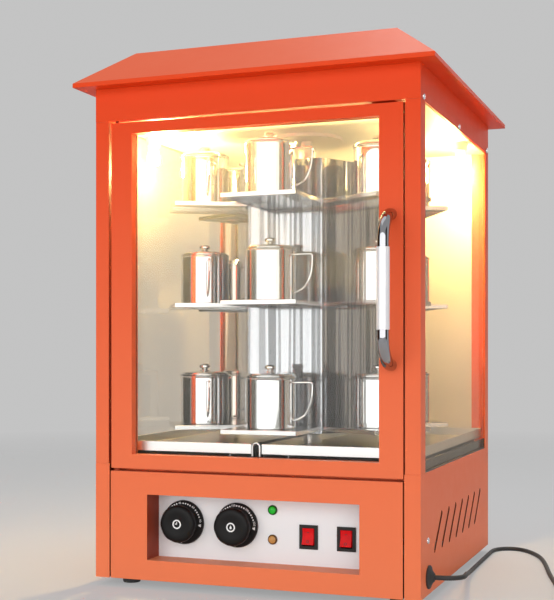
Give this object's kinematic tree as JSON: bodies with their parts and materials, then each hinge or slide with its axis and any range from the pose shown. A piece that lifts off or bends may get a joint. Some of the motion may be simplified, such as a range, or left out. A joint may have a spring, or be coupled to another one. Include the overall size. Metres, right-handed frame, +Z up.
{
  "type": "sweet potato roaster",
  "caption": "Counter-top rotary roaster: hip-roofed orange cabinet with glazed door and sides, louvred control base and a turning carousel of trays with lidded mugs.",
  "frame": {"origin": "under the middle of the overall box of the cabinet with its handle, on the plane of the feet", "axes": "+Z up, +Y from the door to the back, +X to the right seen from the front"},
  "size_m": [0.8035, 0.5756, 0.807],
  "materials": {
    "orange_paint": "glossy orange powder coat",
    "white_panel": "white enamel",
    "mirror_steel": "mirror-polished stainless steel",
    "satin_steel": "satin stainless sheet",
    "galvanised": "galvanised sheet",
    "chrome": "bright chrome",
    "clear_glass": "clear toughened glass",
    "warm_lamp": "lit oven lamp",
    "ceramic": "glazed ceramic",
    "black_plastic": "black thermoset",
    "black_gloss": "black moulded",
    "red_rocker": "red translucent",
    "green_lens": "green lens",
    "amber_lens": "amber lens",
    "black_rubber": "black rubber",
    "seal_rubber": "silicone seal",
    "motor_grey": "die-cast",
    "element": "sheathed heating element",
    "pin_brass": "bare brass"
  },
  "bodies": {
    "cabinet": {"base_plate": "galvanised", "feet": "black_rubber", "base_panels": "orange_paint", "base_fascia": "orange_paint", "casing_screws": "chrome", "corner_posts": "orange_paint", "headers": "orange_paint", "side_glasses": "clear_glass", "rear_panel": "satin_steel", "ceiling_plate": "satin_steel", "roof": "orange_paint", "lamp_holders": "ceramic", "lamps": "warm_lamp", "chamber_floor": "satin_steel", "heaters": "element", "heater_clips": "galvanised", "pan_rails": "galvanised", "left_drip_pan": "satin_steel", "right_drip_pan": "satin_steel", "pan_clip": "galvanised", "hinge_pins": "chrome", "magnetic_catch": "black_plastic", "control_panel": "white_panel", "thermostats": "black_plastic", "indicator_green": "green_lens", "indicator_amber": "amber_lens", "switch_bodies": "black_gloss", "terminal_block": "ceramic", "lower_bearing": "satin_steel", "upper_bearing": "satin_steel", "motor_bracket": "galvanised", "gear_motor": "motor_grey", "cord_gland": "black_rubber", "mains_cord": "black_rubber", "cord_coil": "black_rubber", "cord_tie": "black_plastic", "mains_plug": "black_gloss", "plug_pins": "pin_brass"},
    "carousel": {"drum": "mirror_steel", "drum_ends": "mirror_steel", "carousel_shaft": "mirror_steel", "trays": "mirror_steel", "mugs_lower": "mirror_steel", "mugs_middle": "mirror_steel", "mugs_upper": "mirror_steel", "lids": "mirror_steel", "drive_coupling": "galvanised"},
    "door": {"door_frame": "orange_paint", "door_seal": "seal_rubber", "door_glass": "clear_glass", "door_back_frame": "galvanised", "door_handle": "chrome", "door_strike": "galvanised"},
    "lower_lid": {"lid_front_lower": "mirror_steel"},
    "middle_lid": {"lid_front_middle": "mirror_steel"},
    "upper_lid": {"lid_front_upper": "mirror_steel"},
    "left_dial": {"knob_left": "black_plastic"},
    "right_dial": {"knob_right": "black_plastic"},
    "left_rocker": {"rocker_left": "red_rocker"},
    "right_rocker": {"rocker_right": "red_rocker"}
  },
  "joints": [
    {"name": "door_hinge", "type": "hinge", "parent": "cabinet", "child": "door", "pos_m": [-0.2165, -0.23125, 0.435], "axis": [0, 0, -1], "range_deg": [0, 110]},
    {"name": "carousel_spin", "type": "hinge", "parent": "cabinet", "child": "carousel", "pos_m": [0, 0.01225, 0.445], "axis": [0, 0, 1], "continuous": true},
    {"name": "lower_lid_lift", "type": "slide", "parent": "carousel", "child": "lower_lid", "axis": [0, 0, 1], "range_m": [0, 0.03]},
    {"name": "middle_lid_lift", "type": "slide", "parent": "carousel", "child": "middle_lid", "axis": [0, 0, 1], "range_m": [0, 0.03]},
    {"name": "upper_lid_lift", "type": "slide", "parent": "carousel", "child": "upper_lid", "axis": [0, 0, 1], "range_m": [0, 0.014]},
    {"name": "left_dial_turn", "type": "hinge", "parent": "cabinet", "child": "left_dial", "pos_m": [-0.122, -0.19775, 0.0953], "axis": [0, 1, 0], "range_deg": [0, 270]},
    {"name": "right_dial_turn", "type": "hinge", "parent": "cabinet", "child": "right_dial", "pos_m": [-0.0355, -0.19775, 0.0953], "axis": [0, 1, 0], "range_deg": [0, 270]},
    {"name": "left_rocker_tip", "type": "hinge", "parent": "cabinet", "child": "left_rocker", "pos_m": [0.0756, -0.19475, 0.0836], "axis": [1, 0, 0], "range_deg": [0, 18]},
    {"name": "right_rocker_tip", "type": "hinge", "parent": "cabinet", "child": "right_rocker", "pos_m": [0.1326, -0.19475, 0.0836], "axis": [1, 0, 0], "range_deg": [0, 18]}
  ]
}
